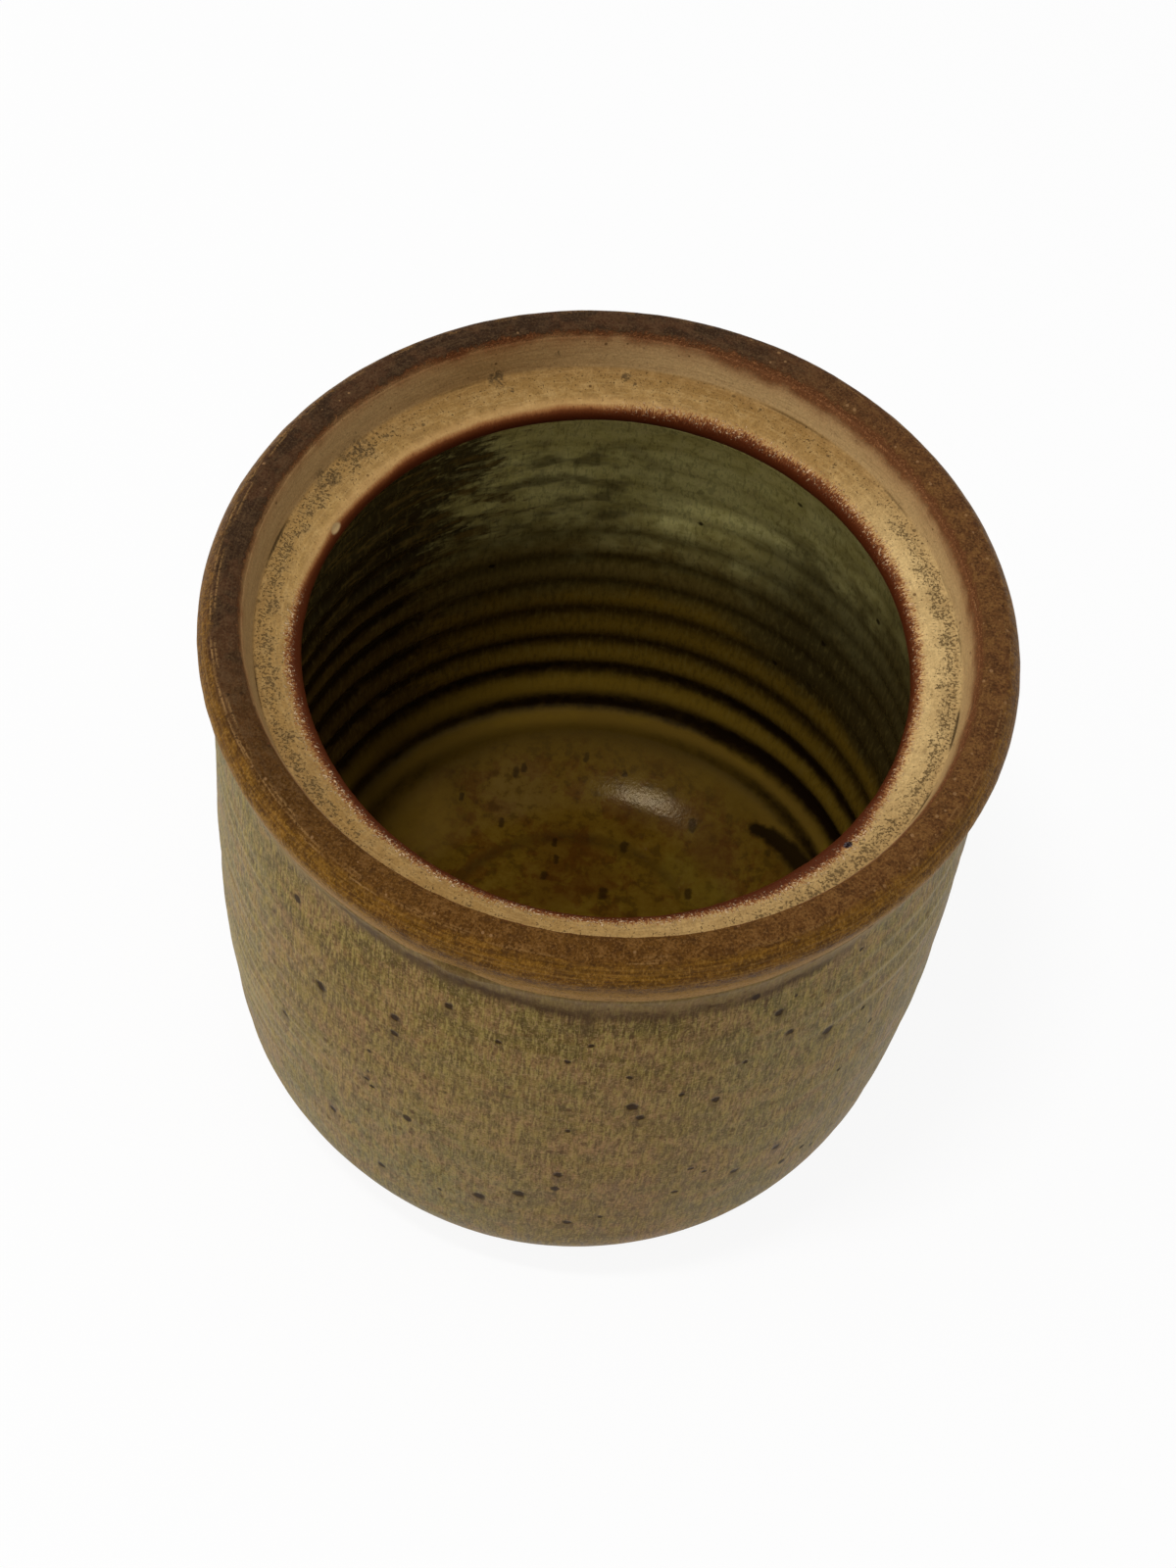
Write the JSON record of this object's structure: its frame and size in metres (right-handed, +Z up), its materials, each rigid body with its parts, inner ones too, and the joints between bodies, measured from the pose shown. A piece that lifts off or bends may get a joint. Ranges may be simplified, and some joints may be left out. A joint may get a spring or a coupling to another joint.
{
  "type": "rice jar",
  "caption": "Wheel-thrown stoneware storage jar, open at the top, with an inner ledge for a lid, throwing rings inside, a glazed side and inside and a flat bare foot ring.",
  "frame": {"origin": "centre of the foot, on the surface the jar stands on", "axes": "+Z up along the jar's turning axis, +X to the right and -Y towards the viewer in the picture"},
  "size_m": [0.16, 0.16, 0.1526],
  "materials": {
    "buff_stoneware": "bare fired clay, satin, with dark specks",
    "iron_wash": "dry brown iron wash, honey at its thin edge",
    "ash_glaze": "semi-gloss ash glaze, khaki and olive, with fine runs and iron specks",
    "liner_glaze": "glossy olive liner glaze, near black in the ring grooves"
  },
  "bodies": {
    "root": {"clay_body": "buff_stoneware", "rim_iron_wash": "iron_wash", "outside_ash_glaze": "ash_glaze", "inside_liner_glaze": "liner_glaze"}
  },
  "joints": []
}
